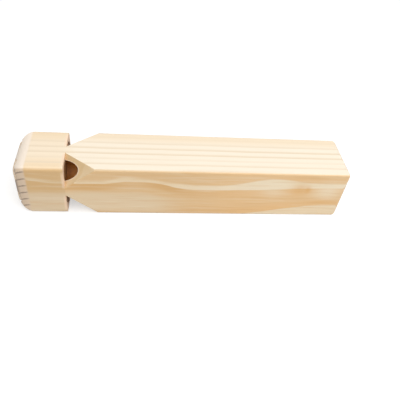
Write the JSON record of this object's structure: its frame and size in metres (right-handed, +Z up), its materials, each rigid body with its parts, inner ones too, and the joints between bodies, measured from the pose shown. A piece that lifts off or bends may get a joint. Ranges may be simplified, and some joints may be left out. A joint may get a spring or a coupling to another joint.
{
  "type": "train whistle",
  "caption": "Square pine block whistle: blown at its rounded mouth end, its stopped pipes sound a steam train chord through windows cut in the long edges.",
  "frame": {"origin": "centre of the long face that the whistle lies on", "axes": "+X along the block from the mouth end to the tail, +Z up, -Y towards the viewer"},
  "size_m": [0.1712, 0.03, 0.03],
  "materials": {
    "pine": "sanded bare pine, satin, with the growth rings of one plank",
    "dowel": "sanded bare softwood dowel, end grain at the mouth"
  },
  "bodies": {
    "root": {"whistle_body": "pine", "fipple_plug_top_front": "dowel", "fipple_plug_top_back": "dowel", "fipple_plug_bottom_front": "dowel", "fipple_plug_bottom_back": "dowel"}
  },
  "joints": []
}
